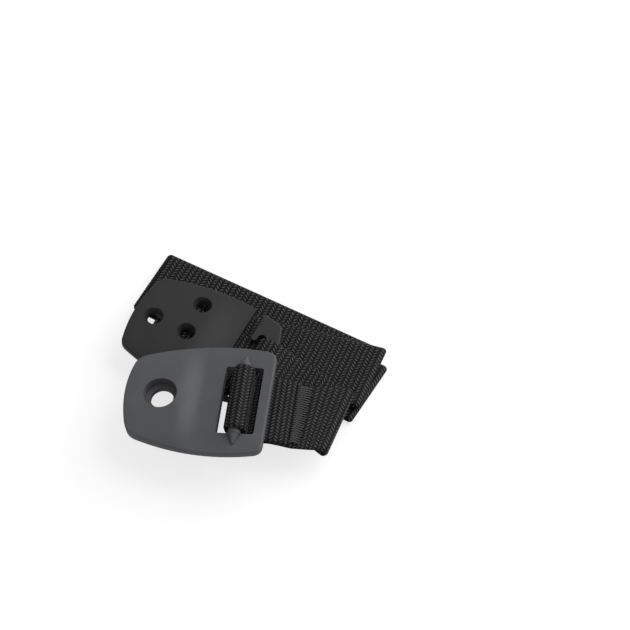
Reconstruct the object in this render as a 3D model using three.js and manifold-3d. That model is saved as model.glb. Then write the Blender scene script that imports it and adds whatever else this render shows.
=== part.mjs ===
// Furniture anti-tip strap: two moulded plates on one folded length of webbing, lying as packed.
// Millimetres, +Z up. The plate that goes on the television lies along X, on top of the other parts.

import * as THREE from 'three';
import { mergeVertices } from 'three/addons/utils/BufferGeometryUtils.js';
import Module from 'manifold-3d';

const wasm = await Module();
wasm.setup();

// Webbing
const strapWidth = 25;
const strapThickness = 1.3;
const ribPitch = 1.8;
const ribDepth = 0.1;
const seat = 0.3; // clearance between a piece and what it lies on
const layer = strapThickness + seat; // height that one layer of webbing takes
const looseFoldRadius = 1.7; // the springy fold beside the television plate
const foldSteps = 10;
const sewnReach = 8.4; // how far the sewn end lies past the television plate

// Where the folds lie, seen from above
const looseFold = [32.6, -28.5];
const hiddenLeftFold = [-36.4, 4.7];
const upperRightFold = [40.9, -6.8];
const leftFold = [-40.5, 22.8];
const lowerRightFold = [40.2, -11.4];
const hiddenEnd = [-22, 14];

// Television plate, measured from its cross bar
const tvBarAt = [-1.6, -30];
const tvTilt = THREE.MathUtils.degToRad(7.8); // its free end rests lower, on the wall plate
const swingRoom = 1.2; // slack between the plate's end strip and the webbing under it
const tvLeft = 37.5; // bar to the left corners
const tvRight = 10.1; // bar to the right end
const tvEndBulge = 2.4;
const tvLeftWidth = 30;
const tvMaxWidth = 42;
const tvRightWidth = 39.5;
const tvCornerRadius = 3;
const tvRim = 2.6; // thickness at the edge
const tvCrown = 3.2; // extra thickness in the middle, at the screw hole
const tvHoleAt = -27.4;
const tvHoleDiameter = 8;
const tvCounterbore = 11.6;
const tvCounterboreFloor = 2; // material left under the screw head
const windowLength = 13.2;
const windowWidth = strapWidth + 1.5;
const windowCorner = 1;
const barDiameter = 4.6;
const barHeight = 3.2; // bar axis above the plate's back
const barRampLength = 4.2;

// Wall plate, measured from its left corners
const wallAt = [-41.4, 6.2];
const wallTurn = THREE.MathUtils.degToRad(-20);
const wallLength = 49.8;
const wallEndBulge = 2.2;
const wallLeftWidth = 30;
const wallMaxWidth = 39.4;
const wallTaper = 3.6; // length of the tapered end
const wallShoulder = [wallLength - wallTaper, 17.2]; // where the side turns into the tapered end
const wallEndHalf = 7;
const wallCornerRadius = 2;
const wallRim = 2.2;
const wallCrown = 1.2;
const screwHoles = [[5.1, -0.6], [17.7, 11.6], [18, -0.8]];
const screwHoleDiameter = 4.6;
const screwHeadDiameter = 6.8;
const screwConeDepth = 1.6;
const mouthWidth = 3.7; // open gap that the webbing is threaded through
const legWidth = 2;
const legEnd = 7.6; // across the plate, free end of the hook leg
const notchEnd = 11; // round end of the notch behind the leg
const endBar = 6; // bar that the webbing runs over
const slotLength = 8.9; // from the end bar to the body of the plate
const slotStart = wallLength - endBar - slotLength;
const slotNear = -16.4;
const strapOnWall = -2.9; // middle of the webbing, across the wall plate
const edgeRound = 0.6;

const edgeSteps = 3;
const topSteps = 9;
const bowSteps = 18;
const cornerSteps = 5;

const wallBack = 5 * layer; // four layers of webbing and the one through the slot
const hidden = 8; // how far a cutting tool reaches past what it cuts

function toSolid(geometry) {
  const bare = geometry.clone();
  bare.deleteAttribute('normal');
  bare.deleteAttribute('uv');
  const merged = mergeVertices(bare, 1e-4);
  return new wasm.Manifold(
    new wasm.Mesh({
      numProp: 3,
      vertProperties: new Float32Array(merged.attributes.position.array),
      triVerts: new Uint32Array(merged.index.array),
    }),
  );
}

function toGeometry(solid) {
  const mesh = solid.getMesh();
  const geometry = new THREE.BufferGeometry();
  geometry.setAttribute('position', new THREE.BufferAttribute(mesh.vertProperties, 3));
  geometry.setIndex(new THREE.BufferAttribute(mesh.triVerts, 1));
  geometry.computeVertexNormals();
  return geometry;
}

// A closed solid through a row of rings that all have the same number of points.
function loft(rings) {
  const count = rings[0].length;
  const positions = rings.flat().flatMap((point) => point.toArray());
  const index = [];
  for (let row = 0; row < rings.length - 1; row += 1) {
    for (let column = 0; column < count; column += 1) {
      const here = row * count + column;
      const beside = row * count + ((column + 1) % count);
      index.push(here, beside, here + count);
      index.push(beside, beside + count, here + count);
    }
  }
  const last = (rings.length - 1) * count;
  for (let column = 1; column < count - 1; column += 1) {
    index.push(0, column + 1, column);
    index.push(last, last + column, last + column + 1);
  }
  const geometry = new THREE.BufferGeometry();
  geometry.setAttribute('position', new THREE.Float32BufferAttribute(positions, 3));
  geometry.setIndex(index);
  geometry.computeVertexNormals();
  return geometry;
}

// An outline through joined edge curves, with each corner between them rounded.
function roundedOutline(edges, radius) {
  const points = [];
  edges.forEach((edge, place) => {
    const next = edges[(place + 1) % edges.length];
    const inset = Math.min(radius / edge.getLength(), 0.45);
    const nextInset = Math.min(radius / next.getLength(), 0.45);
    const steps = edge.isLineCurve ? 1 : bowSteps;
    for (let step = 0; step <= steps; step += 1) {
      points.push(edge.getPointAt(inset + ((1 - 2 * inset) * step) / steps));
    }
    const corner = new THREE.QuadraticBezierCurve(
      edge.getPointAt(1 - inset),
      edge.getPoint(1),
      next.getPointAt(nextInset),
    );
    points.push(...corner.getPoints(cornerSteps).slice(1, -1));
  });
  return THREE.ShapeUtils.isClockWise(points) ? points.reverse() : points;
}

const at = (x, y) => new THREE.Vector2(x, y);
const line = (from, to) => new THREE.LineCurve(from, to);
const bow = (from, through, to) => new THREE.QuadraticBezierCurve(from, through, to);

function block(shape, bottom, height) {
  const geometry = new THREE.ExtrudeGeometry(shape, { depth: height, bevelEnabled: false, curveSegments: 12 });
  geometry.translate(0, 0, bottom);
  return toSolid(geometry);
}

// The same outline, drawn in from its edge by one distance all round.
function drawnIn(outline, distance) {
  return outline.map((point, place) => {
    const before = outline.at(place - 1);
    const after = outline[(place + 1) % outline.length];
    const along = after.clone().sub(before).normalize();
    return at(point.x - along.y * distance, point.y + along.x * distance);
  });
}

// A moulded plate: a flat back, a rounded edge all round and an arched top, whose height above
// the back is given for each place.
function mouldedPlate(outline, topAt) {
  const quarter = Math.PI / 2;
  const rings = [];
  const addRing = (points, height) => {
    rings.push(points.map((point) => new THREE.Vector3(point.x, point.y, height(point))));
  };
  for (let step = 0; step <= edgeSteps; step += 1) {
    const turn = (quarter * step) / edgeSteps;
    addRing(drawnIn(outline, edgeRound * (1 - Math.sin(turn))), () => edgeRound * (1 - Math.cos(turn)));
  }
  for (let step = 0; step <= edgeSteps; step += 1) {
    const turn = (quarter * step) / edgeSteps;
    const drop = edgeRound * (1 - Math.sin(turn));
    addRing(drawnIn(outline, edgeRound * (1 - Math.cos(turn))), (point) => topAt(point.x, point.y) - drop);
  }
  const edge = drawnIn(outline, edgeRound);
  const extent = new THREE.Box2().setFromPoints(edge);
  const centre = extent.getCenter(at(0, 0));
  for (let step = 1; step <= topSteps; step += 1) {
    const share = 0.98 * (step / topSteps);
    const inner = edge.map((point) => point.clone().lerp(centre, share));
    addRing(inner, (point) => topAt(point.x, point.y));
  }
  return toSolid(loft(rings));
}

function drill(x, y, diameter, from, to) {
  const geometry = new THREE.CylinderGeometry(diameter / 2, diameter / 2, to - from, 40);
  geometry.rotateX(Math.PI / 2);
  geometry.translate(x, y, (from + to) / 2);
  return toSolid(geometry);
}

const plastic = new THREE.MeshStandardMaterial({ color: 0x2b2c2e, roughness: 0.55, metalness: 0 });
const darkPlastic = new THREE.MeshStandardMaterial({ color: 0x232426, roughness: 0.6, metalness: 0 });
const cloth = new THREE.MeshStandardMaterial({ color: 0x101011, roughness: 0.95, metalness: 0 });

function buildTvPlate() {
  const leftHalf = tvLeftWidth / 2;
  const rightHalf = tvRightWidth / 2;
  const sidePull = tvMaxWidth - (leftHalf + rightHalf) / 2; // pulls the side out to the widest place
  const sideMiddle = (tvRight - tvLeft) / 2;
  const outline = roundedOutline(
    [
      bow(at(-tvLeft, leftHalf), at(-tvLeft - 2 * tvEndBulge, 0), at(-tvLeft, -leftHalf)),
      bow(at(-tvLeft, -leftHalf), at(sideMiddle, -sidePull), at(tvRight, -rightHalf)),
      line(at(tvRight, -rightHalf), at(tvRight, rightHalf)),
      bow(at(tvRight, rightHalf), at(sideMiddle, sidePull), at(-tvLeft, leftHalf)),
    ],
    tvCornerRadius,
  );
  // The top is highest at the screw hole and falls in a soft bend towards the window.
  const bend = (x) => THREE.MathUtils.smoothstep(x, tvHoleAt + 6, -windowLength);
  const crownAt = (x, y) => tvCrown * (1 - 0.78 * bend(x)) * (1 - (y / (tvMaxWidth / 2)) ** 2);
  let solid = mouldedPlate(outline, (x, y) => tvRim + crownAt(x, y));
  solid = solid.subtract(drill(tvHoleAt, 0, tvHoleDiameter, -hidden, hidden));
  solid = solid.subtract(drill(tvHoleAt, 0, tvCounterbore, tvCounterboreFloor, hidden));
  const halfLength = windowLength / 2;
  const halfWidth = windowWidth / 2;
  const opening = roundedOutline(
    [
      line(at(-halfLength, -halfWidth), at(halfLength, -halfWidth)),
      line(at(halfLength, -halfWidth), at(halfLength, halfWidth)),
      line(at(halfLength, halfWidth), at(-halfLength, halfWidth)),
      line(at(-halfLength, halfWidth), at(-halfLength, -halfWidth)),
    ],
    windowCorner,
  );
  solid = solid.subtract(block(new THREE.Shape(opening), -hidden, 2 * hidden));

  // The bar stands above the face, and a ramp at each end carries it down into the frame.
  const bar = new THREE.CylinderGeometry(barDiameter / 2, barDiameter / 2, windowWidth + 1, 28);
  bar.translate(0, 0, barHeight);
  solid = solid.add(toSolid(bar));
  for (const side of [-1, 1]) {
    const ramp = new THREE.CylinderGeometry(0.3, barDiameter / 2, barRampLength, 28);
    ramp.translate(0, halfWidth + barRampLength / 2, 0);
    if (side < 0) ramp.rotateZ(Math.PI);
    ramp.translate(0, 0, barHeight);
    solid = solid.add(toSolid(ramp));
  }
  const mesh = new THREE.Mesh(toGeometry(solid), plastic);
  mesh.geometry.translate(0, 0, -barHeight);
  mesh.name = 'tv_plate';
  return mesh;
}

function buildWallPlate() {
  const leftHalf = wallLeftWidth / 2;
  const [shoulderX, shoulderY] = wallShoulder;
  const sidePull = wallMaxWidth - (leftHalf + shoulderY) / 2;
  const outline = roundedOutline(
    [
      bow(at(0, leftHalf), at(-2 * wallEndBulge, 0), at(0, -leftHalf)),
      bow(at(0, -leftHalf), at(shoulderX / 2, -sidePull), at(shoulderX, -shoulderY)),
      line(at(shoulderX, -shoulderY), at(wallLength, -wallEndHalf)),
      line(at(wallLength, -wallEndHalf), at(wallLength, wallEndHalf)),
      line(at(wallLength, wallEndHalf), at(shoulderX, shoulderY)),
      bow(at(shoulderX, shoulderY), at(shoulderX / 2, sidePull), at(0, leftHalf)),
    ],
    wallCornerRadius,
  );
  // The body is arched, and the end that carries the webbing is flat.
  const bend = (x) => THREE.MathUtils.smoothstep(x, slotStart - 14, slotStart);
  const topAt = (x, y) => wallRim + wallCrown * (1 - bend(x)) * (1 - (y / (wallMaxWidth / 2)) ** 2);
  let solid = mouldedPlate(outline, topAt);

  // One cut makes the mouth, the strap slot and the notch, and leaves the hook leg standing.
  const notchRight = wallLength - endBar;
  const legLeft = slotStart + mouthWidth;
  const legRight = legLeft + legWidth;
  const notchRadius = (notchRight - legRight) / 2;
  const legTip = legWidth / 2;
  const slot = new THREE.Shape();
  slot.moveTo(slotStart, slotNear);
  slot.lineTo(notchRight, slotNear);
  slot.lineTo(notchRight, notchEnd - notchRadius);
  slot.absarc(notchRight - notchRadius, notchEnd - notchRadius, notchRadius, 0, Math.PI, false);
  slot.lineTo(legRight, legEnd + legTip);
  slot.absarc(legRight - legTip, legEnd + legTip, legTip, 0, -Math.PI, true);
  slot.lineTo(legLeft, wallMaxWidth);
  slot.lineTo(slotStart, wallMaxWidth);
  solid = solid.subtract(block(slot, -hidden, 2 * hidden));

  for (const [x, y] of screwHoles) {
    const top = topAt(x, y);
    const sink = new THREE.CylinderGeometry(screwHeadDiameter / 2, screwHoleDiameter / 2, screwConeDepth, 32);
    sink.rotateX(Math.PI / 2);
    sink.translate(x, y, top - screwConeDepth / 2);
    solid = solid.subtract(drill(x, y, screwHoleDiameter, -hidden, hidden));
    solid = solid.subtract(toSolid(sink));
    solid = solid.subtract(drill(x, y, screwHeadDiameter, top - 0.01, hidden));
  }
  const mesh = new THREE.Mesh(toGeometry(solid), darkPlastic);
  mesh.name = 'wall_plate';
  return mesh;
}

// The webbing is a row of rulings, straight lines across it: a middle point, a level direction
// and half the length between the two edges.
const vector = (x, y, z) => new THREE.Vector3(x, y, z);
const halfStep = ribPitch / 2;

function alongCurve(points, direction, half) {
  const curve = new THREE.CatmullRomCurve3(points, false, 'centripetal');
  const count = Math.max(2, Math.round(curve.getLength() / halfStep));
  return curve.getSpacedPoints(count).map((middle) => ({ middle, direction, half, ribbed: true }));
}

// Half a turn from one height to another, with its crease where the strap's two directions meet.
function foldAt(place, before, after, from, to) {
  const here = at(...place);
  const arriving = here.clone().sub(before).normalize();
  const leaving = after.clone().sub(here).normalize();
  const outward = arriving.clone().sub(leaving).normalize();
  // Every ruling points away from the viewer, so the strap's two edges keep their sides.
  const direction = vector(-outward.y, outward.x, 0).multiplyScalar(Math.sign(outward.x));
  const half = strapWidth / 2 / arriving.dot(outward);
  const radius = Math.abs(from - to) / 2;
  const rulings = [];
  for (let step = 0; step <= foldSteps; step += 1) {
    const turn = (Math.PI * step) / foldSteps;
    const reach = radius * (Math.sin(turn) - 1);
    const middle = vector(
      here.x + outward.x * reach,
      here.y + outward.y * reach,
      (from + to) / 2 + ((from - to) / 2) * Math.cos(turn),
    );
    rulings.push({ middle, direction, half, ribbed: false });
  }
  return rulings;
}

// Straight webbing between two rulings, which may lie at a small angle to each other.
function runBetween(first, last) {
  const steps = Math.max(2, Math.round(first.middle.distanceTo(last.middle) / halfStep));
  const rulings = [];
  for (let step = 1; step < steps; step += 1) {
    const share = step / steps;
    rulings.push({
      middle: first.middle.clone().lerp(last.middle, share),
      direction: first.direction.clone().lerp(last.direction, share).normalize(),
      half: THREE.MathUtils.lerp(first.half, last.half, share),
      ribbed: true,
    });
  }
  return rulings;
}

const wallAxis = at(Math.cos(wallTurn), Math.sin(wallTurn));
const wallAcross = vector(-wallAxis.y, wallAxis.x, 0);

function onWall(x, y, z) {
  return vector(
    wallAt[0] + x * wallAxis.x - y * wallAxis.y,
    wallAt[1] + x * wallAxis.y + y * wallAxis.x,
    z,
  );
}

// Heights of the middle of each layer, from the lowest up
const layerMiddle = (count) => strapThickness / 2 + layer * count;
const overBar = wallBack + wallRim + seat + strapThickness / 2;
const tvBarZ =
  overBar + 2 * layer + strapThickness / 2 + seat + swingRoom + barHeight - (windowLength / 2) * Math.sin(tvTilt);

function onTv(x, z) {
  const cos = Math.cos(tvTilt);
  const sin = Math.sin(tvTilt);
  return vector(tvBarAt[0] + x * cos - z * sin, tvBarAt[1], tvBarZ + x * sin + z * cos);
}

function tvLoop() {
  const wrap = barDiameter / 2 + seat + strapThickness / 2 + ribDepth;
  const tailZ = -barHeight - swingRoom - seat - strapThickness / 2; // first layer under the frame
  const runZ = tailZ - layer; // second layer, which goes on to the loose fold
  const points = [];
  points.push(onTv(tvRight + sewnReach, tailZ - 2.6));
  points.push(onTv(tvRight + 3.9, tailZ - 0.9));
  points.push(onTv(tvRight, tailZ));
  points.push(onTv(windowLength / 2, tailZ));
  for (let angle = -35; angle <= 260; angle += 29.5) {
    const turn = THREE.MathUtils.degToRad(angle);
    points.push(onTv(wrap * Math.cos(turn), wrap * Math.sin(turn)));
  }
  points.push(onTv(windowLength / 2, runZ));
  points.push(onTv(tvRight, runZ));
  points.push(onTv(tvRight + 3.5, runZ - 0.9));
  points.push(onTv(tvRight + sewnReach - 0.5, runZ - 2.5));
  return points;
}

function overEndBar() {
  const low = layerMiddle(4);
  const notchRight = wallLength - endBar;
  const inNotch = notchRight - 1.6;
  const points = [
    [wallLength + 12, low],
    [wallLength + 7, low + 0.4],
    [wallLength + 2.7, overBar - 1.2],
    [wallLength - 0.2, overBar + 0.1],
    [notchRight + 1, overBar + 0.2],
    [notchRight - 0.8, overBar - 0.3],
    [inNotch - 0.1, overBar - 1.7],
    [inNotch - 0.3, low + 0.9],
    [inNotch - 1.6, low + 0.05],
    [inNotch - 6, low],
  ];
  return points.map(([x, z]) => onWall(x, strapOnWall, z));
}

function buildStrap() {
  const tvRulings = alongCurve(tvLoop(), vector(0, 1, 0), strapWidth / 2);
  const wallHalf = strapWidth / 2;
  const wallRulings = alongCurve(overEndBar(), wallAcross, wallHalf);
  const flat = (point) => at(point.x, point.y);
  const tvEnd = flat(tvRulings.at(-1).middle);
  const barStart = flat(wallRulings[0].middle);
  const slotEnd = flat(wallRulings.at(-1).middle);
  const low = layerMiddle(4);
  const folds = [
    foldAt(looseFold, tvEnd, barStart, low + 2 * looseFoldRadius, low),
    wallRulings,
    foldAt(hiddenLeftFold, slotEnd, at(...upperRightFold), low, layerMiddle(3)),
    foldAt(upperRightFold, at(...hiddenLeftFold), at(...leftFold), layerMiddle(3), layerMiddle(2)),
    foldAt(leftFold, at(...upperRightFold), at(...lowerRightFold), layerMiddle(2), layerMiddle(1)),
    foldAt(lowerRightFold, at(...leftFold), at(...hiddenEnd), layerMiddle(1), layerMiddle(0)),
  ];
  let rulings = [...tvRulings];
  for (const stretch of folds) {
    rulings = [...rulings, ...runBetween(rulings.at(-1), stretch[0]), ...stretch];
  }
  const tail = {
    middle: vector(...hiddenEnd, layerMiddle(0)),
    direction: rulings.at(-1).direction,
    half: strapWidth / 2,
    ribbed: true,
  };
  rulings = [...rulings, ...runBetween(rulings.at(-1), tail), tail];
  const rings = rulings.map((ruling, place) => {
    const before = rulings[Math.max(0, place - 1)].middle;
    const after = rulings[Math.min(rulings.length - 1, place + 1)].middle;
    const forward = after.clone().sub(before);
    const side = ruling.direction;
    const up = forward.cross(side).normalize();
    const valley = ruling.ribbed ? ribDepth * (place % 2) : ribDepth / 2;
    const rise = strapThickness / 2 - valley;
    const corner = (across, height) =>
      ruling.middle.clone().addScaledVector(side, across * ruling.half).addScaledVector(up, height * rise);
    return [corner(-1, -1), corner(1, -1), corner(1, 1), corner(-1, 1)];
  });
  const mesh = new THREE.Mesh(loft(rings), cloth);
  mesh.name = 'webbing_strap';
  return mesh;
}

const group = new THREE.Group();

const tvPlate = buildTvPlate();
tvPlate.position.set(tvBarAt[0], tvBarAt[1], tvBarZ);
tvPlate.rotation.y = -tvTilt;

const wallPlate = buildWallPlate();
wallPlate.position.set(wallAt[0], wallAt[1], wallBack);
wallPlate.rotation.z = wallTurn;

group.add(tvPlate, wallPlate, buildStrap());

// The origin is below the middle of the whole part, at the height it rests on.
const extent = new THREE.Box3().setFromObject(group, true);
const middle = extent.getCenter(vector(0, 0, 0));
group.position.set(-middle.x, -middle.y, -extent.min.z);

export default group;
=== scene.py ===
import math

import bmesh
import bpy
import numpy as np
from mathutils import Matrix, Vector


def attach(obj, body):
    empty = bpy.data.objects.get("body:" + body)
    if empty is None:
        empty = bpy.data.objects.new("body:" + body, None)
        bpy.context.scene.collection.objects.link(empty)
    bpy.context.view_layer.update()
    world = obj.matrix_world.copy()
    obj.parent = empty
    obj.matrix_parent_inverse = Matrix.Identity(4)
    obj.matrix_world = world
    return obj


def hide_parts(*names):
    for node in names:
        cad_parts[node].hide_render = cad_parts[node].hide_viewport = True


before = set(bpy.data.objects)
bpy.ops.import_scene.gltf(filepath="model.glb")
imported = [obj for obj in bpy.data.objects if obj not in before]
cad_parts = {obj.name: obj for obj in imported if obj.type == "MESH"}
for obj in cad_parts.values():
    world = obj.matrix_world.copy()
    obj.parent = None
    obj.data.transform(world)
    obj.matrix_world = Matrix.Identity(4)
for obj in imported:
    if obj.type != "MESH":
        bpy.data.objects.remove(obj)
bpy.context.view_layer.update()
scene = bpy.context.scene
scene.view_settings.view_transform = "Standard"

# Television plate. One moulding in black nylon, crowned over its screw hole and pierced by a
# window. Its bar is moulded in, and the whole face has the fine spark texture of the mould.
TV_BLACK = (0.062, 0.063, 0.066, 1)
TV_ROUGHNESS = 0.58
TV_SHINE = 0.26
GRAIN_SIZE = 2600
GRAIN_DETAIL = 3
GRAIN_HEIGHT = 0.00003
GRAIN_STRENGTH = 0.6
FLOW_SIZE = 90
FLOW_DETAIL = 2
FLOW_DARKEST, FLOW_LIGHTEST = 0.86, 1.14
MERGE_WITHIN = 1e-6
SMOOTH_BELOW = math.radians(38)

moulded = bpy.data.node_groups.new("moulded nylon", "ShaderNodeTree")
moulded.interface.new_socket("Position", in_out="INPUT", socket_type="NodeSocketVector")
moulded.interface.new_socket("Colour", in_out="INPUT", socket_type="NodeSocketColor")
moulded.interface.new_socket("Roughness", in_out="INPUT", socket_type="NodeSocketFloat")
moulded.interface.new_socket("Grain", in_out="INPUT", socket_type="NodeSocketFloat")
moulded.interface.new_socket("Colour", in_out="OUTPUT", socket_type="NodeSocketColor")
moulded.interface.new_socket("Roughness", in_out="OUTPUT", socket_type="NodeSocketFloat")
moulded.interface.new_socket("Height", in_out="OUTPUT", socket_type="NodeSocketFloat")
nodes, links = moulded.nodes, moulded.links
given = nodes.new("NodeGroupInput")
result = nodes.new("NodeGroupOutput")
grain = nodes.new("ShaderNodeTexNoise")
grain.inputs["Detail"].default_value = GRAIN_DETAIL
links.new(given.outputs["Position"], grain.inputs["Vector"])
links.new(given.outputs["Grain"], grain.inputs["Scale"])
flow = nodes.new("ShaderNodeTexNoise")
flow.inputs["Scale"].default_value = FLOW_SIZE
flow.inputs["Detail"].default_value = FLOW_DETAIL
links.new(given.outputs["Position"], flow.inputs["Vector"])
shade = nodes.new("ShaderNodeMapRange")
shade.inputs["To Min"].default_value = FLOW_DARKEST
shade.inputs["To Max"].default_value = FLOW_LIGHTEST
links.new(flow.outputs["Fac"], shade.inputs["Value"])
tint = nodes.new("ShaderNodeVectorMath")
tint.operation = "SCALE"
links.new(given.outputs["Colour"], tint.inputs[0])
links.new(shade.outputs["Result"], tint.inputs["Scale"])
uneven = nodes.new("ShaderNodeMath")
uneven.operation = "MULTIPLY"
links.new(given.outputs["Roughness"], uneven.inputs[0])
links.new(shade.outputs["Result"], uneven.inputs[1])
links.new(tint.outputs[0], result.inputs["Colour"])
links.new(uneven.outputs[0], result.inputs["Roughness"])
links.new(grain.outputs["Fac"], result.inputs["Height"])


def nylon(name, colour, roughness, shine):
    material = bpy.data.materials.new(name)
    material.use_nodes = True
    tree = material.node_tree
    shader = tree.nodes["Principled BSDF"]
    shader.inputs["Specular IOR Level"].default_value = shine
    place = tree.nodes.new("ShaderNodeTexCoord")
    finish = tree.nodes.new("ShaderNodeGroup")
    finish.node_tree = moulded
    finish.inputs["Colour"].default_value = colour
    finish.inputs["Roughness"].default_value = roughness
    finish.inputs["Grain"].default_value = GRAIN_SIZE
    bump = tree.nodes.new("ShaderNodeBump")
    bump.inputs["Distance"].default_value = GRAIN_HEIGHT
    bump.inputs["Strength"].default_value = GRAIN_STRENGTH
    tree.links.new(place.outputs["Object"], finish.inputs["Position"])
    tree.links.new(finish.outputs["Colour"], shader.inputs["Base Color"])
    tree.links.new(finish.outputs["Roughness"], shader.inputs["Roughness"])
    tree.links.new(finish.outputs["Height"], bump.inputs["Height"])
    tree.links.new(bump.outputs["Normal"], shader.inputs["Normal"])
    return material


# The solid's facets are shaded as the smooth, arched faces that the mould gives.
def smooth_plate(node, material):
    shape = bmesh.new()
    shape.from_mesh(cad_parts[node].data)
    bmesh.ops.remove_doubles(shape, verts=shape.verts, dist=MERGE_WITHIN)
    shape.verts.index_update()
    corners = [vertex.co.copy() for vertex in shape.verts]
    facets = [[vertex.index for vertex in face.verts] for face in shape.faces]
    shape.free()
    mesh = bpy.data.meshes.new(node + "_moulding")
    mesh.from_pydata(corners, [], facets)
    mesh.shade_smooth()
    mesh.set_sharp_from_angle(angle=SMOOTH_BELOW)
    mesh.materials.append(material)
    piece = bpy.data.objects.new(node + "_moulding", mesh)
    weighted = piece.modifiers.new("even shading", "WEIGHTED_NORMAL")
    weighted.keep_sharp = True
    scene.collection.objects.link(piece)
    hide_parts(node)
    return piece


tv_nylon = nylon("television plate nylon", TV_BLACK, TV_ROUGHNESS, TV_SHINE)
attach(smooth_plate("tv_plate", tv_nylon), "television_plate")

# Wall plate. The second nylon moulding, a little darker and duller, with countersunk screw
# holes and a hook beside the slot that the webbing runs through.
WALL_BLACK = (0.013, 0.0132, 0.014, 1)
WALL_ROUGHNESS = 0.5
WALL_SHINE = 0.24

wall_nylon = nylon("wall plate nylon", WALL_BLACK, WALL_ROUGHNESS, WALL_SHINE)
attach(smooth_plate("wall_plate", wall_nylon), "strap")

# Webbing. One length of heavy black webbing, woven in ribs that run across it, with a tight
# selvedge down each edge. It is folded to and fro, and its end is turned round the bar and sewn.
STRAP_WIDTH = 0.025
STRAP_HALF_THICKNESS = 0.00062
RIB_PITCH = 0.0018
RIB_HEIGHT = 0.0002
ALONG_STEP = 0.00045
ACROSS_STEPS = 22
CROWDED_SHARE = 0.35  # how far the columns crowd towards the selvedges
SELVEDGE_FROM = 0.95
SELVEDGE_LEAST = 0.04
LOWEST_LAYER = 0.002

strap_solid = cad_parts["webbing_strap"]
shape = bmesh.new()
shape.from_mesh(strap_solid.data)
bmesh.ops.remove_doubles(shape, verts=shape.verts, dist=MERGE_WITHIN)

# The solid is a row of rings of four corners, which are found one after another from its hidden
# end, where the corners of the last ring have fewer edges than all others.
ring = [v for v in shape.verts if len(v.link_edges) < 6 and v.co.z < LOWEST_LAYER]
found = set(ring)
rings = []
while ring:
    rings.append([v.co.copy() for v in ring])
    ring = list({e.other_vert(v) for v in ring for e in v.link_edges} - found)
    found.update(ring)
shape.free()

middles, sides = [], []
for corners in rings:
    corners.sort(key=lambda p: p.y)
    near = (corners[0] + corners[1]) / 2
    far = (corners[2] + corners[3]) / 2
    middles.append((near + far) / 2)
    sides.append((far - near) / 2)
middles, sides = np.array(middles), np.array(sides)
lengths = np.concatenate([[0], np.cumsum(np.linalg.norm(np.diff(middles, axis=0), axis=1))])
strap_length = float(lengths[-1])

station_count = int(strap_length / ALONG_STEP)
stations = np.linspace(0, strap_length, station_count)


def along_strap(values, places):
    return np.stack([np.interp(places, lengths, values[:, axis]) for axis in range(3)], axis=1)


middle = along_strap(middles, stations)
side = along_strap(sides, stations)
forward = np.gradient(middle, axis=0)
up = np.cross(forward, side)
up /= np.linalg.norm(up, axis=1)[:, None]

# The section is a flat oval: up one face, round the selvedge and back along the other face.
evenly = np.linspace(-1, 1, ACROSS_STEPS + 1)
across = CROWDED_SHARE * np.sin(evenly * math.pi / 2) + (1 - CROWDED_SHARE) * evenly
in_selvedge = np.clip((np.abs(across) - SELVEDGE_FROM) / (1 - SELVEDGE_FROM), 0, 1)
fullness = np.sqrt(np.clip(1 - in_selvedge**2, SELVEDGE_LEAST, 1))
rib = np.cos(2 * math.pi * stations / RIB_PITCH)
top = STRAP_HALF_THICKNESS + RIB_HEIGHT * (rib - 1) / 2
under = STRAP_HALF_THICKNESS + RIB_HEIGHT * (-rib - 1) / 2

points, places = [], []
for face, half in ((1, top), (-1, under)):
    columns = range(ACROSS_STEPS + 1) if face > 0 else range(ACROSS_STEPS, -1, -1)
    for column in columns:
        height = (face * half * fullness[column])[:, None]
        points.append(middle + side * across[column] + up * height)
        places.append(across[column])
around = len(points)
grid = np.stack(points, axis=1).reshape(-1, 3)
faces = []
for row in range(station_count - 1):
    for column in range(around):
        beside = (column + 1) % around
        here, there = row * around, (row + 1) * around
        faces.append((here + column, here + beside, there + beside, there + column))
faces.append(tuple(range(around - 1, -1, -1)))
faces.append(tuple((station_count - 1) * around + column for column in range(around)))

strap_mesh = bpy.data.meshes.new("webbing")
strap_mesh.from_pydata(grid.tolist(), [], faces)
strap_mesh.update()
woven = strap_mesh.uv_layers.new(name="Weave")
vertex_of_corner = np.array([corner.vertex_index for corner in strap_mesh.loops])
uv = np.empty((len(vertex_of_corner), 2))
uv[:, 0] = np.array(places)[vertex_of_corner % around] * STRAP_WIDTH / 2
uv[:, 1] = stations[vertex_of_corner // around]
woven.data.foreach_set("uv", uv.ravel())
webbing = bpy.data.objects.new("webbing", strap_mesh)
scene.collection.objects.link(webbing)
shape = bmesh.new()
shape.from_mesh(strap_mesh)
bmesh.ops.recalc_face_normals(shape, faces=shape.faces)
shape.to_mesh(strap_mesh)
shape.free()
strap_mesh.shade_smooth()

# Threads lie slanted on each rib, one way on one rib and the other way on the next. Their colour is
# painted light: each thread is painted lighter along its crest, a painted highlight, and the webbing is
# painted darker towards the grooves between ribs, a painted shade. The same shape also gives the real
# relief of the bump.
THREAD_PITCH = 0.00125
THREAD_SLANT = 1.1
HIGHLIGHT_CONTRAST = 2.2
# The webbing's own black, which is also the painted shade in the grooves. The next colour is the
# lighter grey of the painted highlight on the thread crests.
THREAD_DARK = (0.0015, 0.0015, 0.0017, 1)
CREST_HIGHLIGHT_GREY = (0.14, 0.14, 0.145, 1)
THREAD_HEIGHT = 0.00022
THREAD_STRENGTH = 0.9
FUZZ_SIZE = 900
FUZZ_DETAIL = 4
CLOTH_ROUGHNESS = 0.62
CLOTH_SHINE = 0.12

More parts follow.
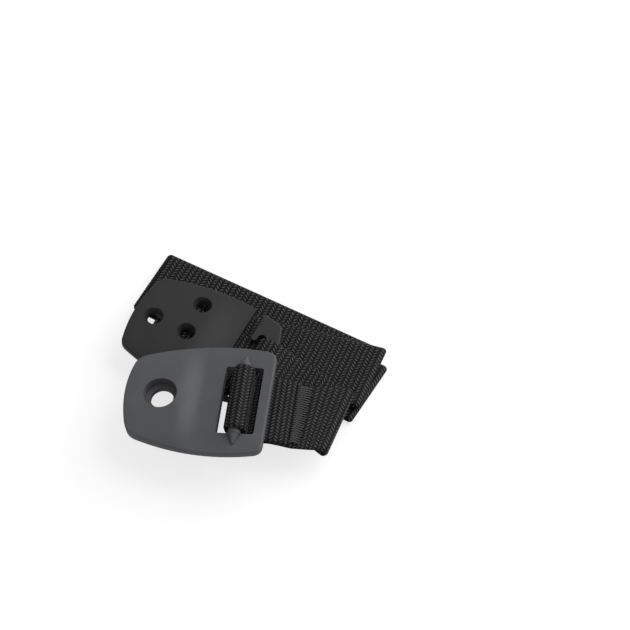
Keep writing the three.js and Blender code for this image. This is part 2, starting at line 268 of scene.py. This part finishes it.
weave = bpy.data.node_groups.new("herringbone webbing", "ShaderNodeTree")
weave.interface.new_socket("Across", in_out="INPUT", socket_type="NodeSocketFloat")
weave.interface.new_socket("Along", in_out="INPUT", socket_type="NodeSocketFloat")
weave.interface.new_socket("Threads", in_out="OUTPUT", socket_type="NodeSocketFloat")
weave.interface.new_socket("Height", in_out="OUTPUT", socket_type="NodeSocketFloat")
nodes, links = weave.nodes, weave.links
given = nodes.new("NodeGroupInput")
result = nodes.new("NodeGroupOutput")


def step(operation, first, second=None):
    node = nodes.new("ShaderNodeMath")
    node.operation = operation
    for socket, value in zip(node.inputs, (first, second)):
        if isinstance(value, (int, float)):
            socket.default_value = value
        elif value is not None:
            links.new(value, socket)
    return node.outputs[0]


ribs = step("DIVIDE", given.outputs["Along"], RIB_PITCH)
ribs_centred = step("ADD", ribs, 0.5)
in_rib = step("SUBTRACT", step("FRACT", ribs_centred), 0.5)
other_rib = step("MODULO", step("FLOOR", ribs_centred), 2)
lean = step("SUBTRACT", step("MULTIPLY", other_rib, 2), 1)
slant = step("MULTIPLY", step("MULTIPLY", in_rib, lean), THREAD_SLANT)
threads = step("ADD", step("DIVIDE", given.outputs["Across"], THREAD_PITCH), slant)
threads = step("ADD", threads, step("MULTIPLY", other_rib, 0.5))
wave = step("COSINE", step("MULTIPLY", threads, 2 * math.pi))
# Each rib falls away to its edges. This shapes both the bump and the painted shade in the grooves
# between ribs.
crest = step("COSINE", step("MULTIPLY", in_rib, math.pi))
strand = step("MULTIPLY", step("ADD", step("MULTIPLY", wave, 0.5), 0.5), crest)
# The Threads output is the mask of the painted highlight and painted shade. The Height output is the
# real relief of the threads.
links.new(step("POWER", strand, HIGHLIGHT_CONTRAST), result.inputs["Threads"])
links.new(strand, result.inputs["Height"])

cloth = bpy.data.materials.new("black webbing")
cloth.use_nodes = True
tree = cloth.node_tree
shader = tree.nodes["Principled BSDF"]
where = tree.nodes.new("ShaderNodeUVMap")
where.uv_map = "Weave"
split = tree.nodes.new("ShaderNodeSeparateXYZ")
pattern = tree.nodes.new("ShaderNodeGroup")
pattern.node_tree = weave
fuzz = tree.nodes.new("ShaderNodeTexNoise")
fuzz.inputs["Scale"].default_value = FUZZ_SIZE
fuzz.inputs["Detail"].default_value = FUZZ_DETAIL
# The painted highlight mask, broken up by random fuzz, mixes the webbing black towards the painted
# highlight grey.
highlight_with_fuzz = tree.nodes.new("ShaderNodeMath")
highlight_with_fuzz.operation = "MULTIPLY"
colour = tree.nodes.new("ShaderNodeMix")
colour.data_type = "RGBA"
colour.inputs["A"].default_value = THREAD_DARK
colour.inputs["B"].default_value = CREST_HIGHLIGHT_GREY
bump = tree.nodes.new("ShaderNodeBump")
bump.inputs["Distance"].default_value = THREAD_HEIGHT
bump.inputs["Strength"].default_value = THREAD_STRENGTH
shader.inputs["Roughness"].default_value = CLOTH_ROUGHNESS
shader.inputs["Specular IOR Level"].default_value = CLOTH_SHINE
tree.links.new(where.outputs["UV"], split.inputs["Vector"])
tree.links.new(split.outputs["X"], pattern.inputs["Across"])
tree.links.new(split.outputs["Y"], pattern.inputs["Along"])
tree.links.new(where.outputs["UV"], fuzz.inputs["Vector"])
tree.links.new(pattern.outputs["Threads"], highlight_with_fuzz.inputs[0])
tree.links.new(fuzz.outputs["Fac"], highlight_with_fuzz.inputs[1])
tree.links.new(highlight_with_fuzz.outputs[0], colour.inputs["Factor"])
tree.links.new(colour.outputs["Result"], shader.inputs["Base Color"])
tree.links.new(pattern.outputs["Height"], bump.inputs["Height"])
tree.links.new(bump.outputs["Normal"], shader.inputs["Normal"])
strap_mesh.materials.append(cloth)

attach(webbing, "strap")
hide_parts("webbing_strap")

# Sewing. One dense zigzag of heavy polyester thread is run over the cut end of the webbing and
# holds it down on the layer below, as a raised column that crosses the strap.
SEWING_BLACK = (0.022, 0.022, 0.023, 1)
SEWING_ROUGHNESS = 0.45
SEWING_SHINE = 0.35
SEWING_RADIUS = 0.00023
ZIGZAGS = 25
SEWN_ACROSS = 0.9
SEWN_BACK = 0.0012
SEWN_AHEAD = 0.0042
SEWN_LIFT = STRAP_HALF_THICKNESS + 0.00008
SEWN_LIFT_AT_END = STRAP_HALF_THICKNESS + 0.0003
TAIL = 0.025  # a little more than the layer that is turned back

before_loop = stations < strap_length - TAIL
below = int(np.argmin(np.linalg.norm(middle[before_loop] - middle[-1], axis=1)))


def on_top(row, share, height):
    normal = up[row] if up[row][2] > 0 else -up[row]
    return middle[row] + side[row] * share + normal * height


inner_row = station_count - 1 - round(SEWN_BACK / ALONG_STEP)
outer_row = below - round(SEWN_AHEAD / ALONG_STEP)
shares = np.linspace(-SEWN_ACROSS, SEWN_ACROSS, 2 * ZIGZAGS + 1)
half_pitch = (shares[1] - shares[0]) / 2
thread_path = []
for count, share in enumerate(shares):
    turn_row = outer_row if count % 2 else inner_row
    thread_path.append(on_top(turn_row, share, SEWN_LIFT))
    thread_path.append(on_top(station_count - 1, share + half_pitch, SEWN_LIFT_AT_END))
sewn = bpy.data.curves.new("sewing", "CURVE")
sewn.dimensions = "3D"
sewn.bevel_depth = SEWING_RADIUS
sewn.bevel_resolution = 2
sewn.use_fill_caps = True
run = sewn.splines.new("POLY")
run.points.add(len(thread_path) - 1)
for point, place in zip(run.points, thread_path):
    point.co = (*place, 1)
sewing = bpy.data.objects.new("sewing", sewn)
scene.collection.objects.link(sewing)
polyester = bpy.data.materials.new("black sewing thread")
polyester.use_nodes = True
shader = polyester.node_tree.nodes["Principled BSDF"]
shader.inputs["Base Color"].default_value = SEWING_BLACK
shader.inputs["Roughness"].default_value = SEWING_ROUGHNESS
shader.inputs["Specular IOR Level"].default_value = SEWING_SHINE
sewn.materials.append(polyester)
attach(sewing, "strap")

# Floor. A sheet of matt white paper under the part, which looks brighter to the camera than its
# light makes it, so that only a faint shadow shows.
FLOOR_REACH = 3
PAPER_WHITE = (0.9, 0.9, 0.9, 1)
PAPER_ROUGHNESS = 0.9
GLOW_SHARE = 0.75

floor_mesh = bpy.data.meshes.new("floor")
floor_corners = [(x * FLOOR_REACH, y * FLOOR_REACH, 0) for x, y in ((-1, -1), (1, -1), (1, 1), (-1, 1))]
floor_mesh.from_pydata(floor_corners, [], [(0, 1, 2, 3)])
floor = bpy.data.objects.new("floor", floor_mesh)
scene.collection.objects.link(floor)
paper = bpy.data.materials.new("white paper")
paper.use_nodes = True
tree = paper.node_tree
shader = tree.nodes["Principled BSDF"]
shader.inputs["Base Color"].default_value = PAPER_WHITE
shader.inputs["Roughness"].default_value = PAPER_ROUGHNESS
floor_mesh.materials.append(paper)
glow = tree.nodes.new("ShaderNodeEmission")
glow.inputs["Color"].default_value = (1, 1, 1, 1)
seen = tree.nodes.new("ShaderNodeLightPath")
blend = tree.nodes.new("ShaderNodeMixShader")
part_glow = tree.nodes.new("ShaderNodeMath")
part_glow.operation = "MULTIPLY"
part_glow.inputs[1].default_value = GLOW_SHARE
tree.links.new(seen.outputs["Is Camera Ray"], part_glow.inputs[0])
tree.links.new(part_glow.outputs[0], blend.inputs["Fac"])
tree.links.new(shader.outputs["BSDF"], blend.inputs[1])
tree.links.new(glow.outputs["Emission"], blend.inputs[2])
tree.links.new(blend.outputs["Shader"], tree.nodes["Material Output"].inputs["Surface"])

# Studio light. A broad lamp above at the right and behind, a weaker one in front at the left,
# and a pale room.
ROOM_STRENGTH = 0.36
LAMPS = [
    ("back lamp", (0.5, 0.42, 0.62), 0.9, 12),
    ("front lamp", (-0.3, -0.6, 0.7), 0.8, 2),
]
for name, place, width, power in LAMPS:
    light = bpy.data.lights.new(name, "AREA")
    light.size = width
    light.energy = power
    lamp = bpy.data.objects.new(name, light)
    lamp.location = place
    lamp.rotation_euler = (-Vector(place)).to_track_quat("-Z", "Y").to_euler()
    scene.collection.objects.link(lamp)
room = bpy.data.worlds.new("room")
scene.world = room
room.use_nodes = True
room.node_tree.nodes["Background"].inputs["Color"].default_value = (1, 1, 1, 1)
room.node_tree.nodes["Background"].inputs["Strength"].default_value = ROOM_STRENGTH

# Camera. A long lens, looking down on the part from in front, framed as the photograph is.
AZIMUTH, ELEVATION = math.radians(8), math.radians(58)
PICTURE_PIXELS = 630
PIXELS_PER_METRE = 2870
FRAME_WIDTH = PICTURE_PIXELS / PIXELS_PER_METRE
AIM = Vector((0.0178, 0.0274, 0))
DISTANCE = 1.8
camera_data = bpy.data.cameras.new("camera")
camera_data.lens = camera_data.sensor_width * DISTANCE / FRAME_WIDTH
camera = bpy.data.objects.new("camera", camera_data)
backwards = Vector((
    math.sin(AZIMUTH) * math.cos(ELEVATION),
    -math.cos(AZIMUTH) * math.cos(ELEVATION),
    math.sin(ELEVATION),
))
camera.location = AIM + DISTANCE * backwards
camera.rotation_euler = backwards.to_track_quat("Z", "Y").to_euler()
scene.collection.objects.link(camera)
scene.camera = camera
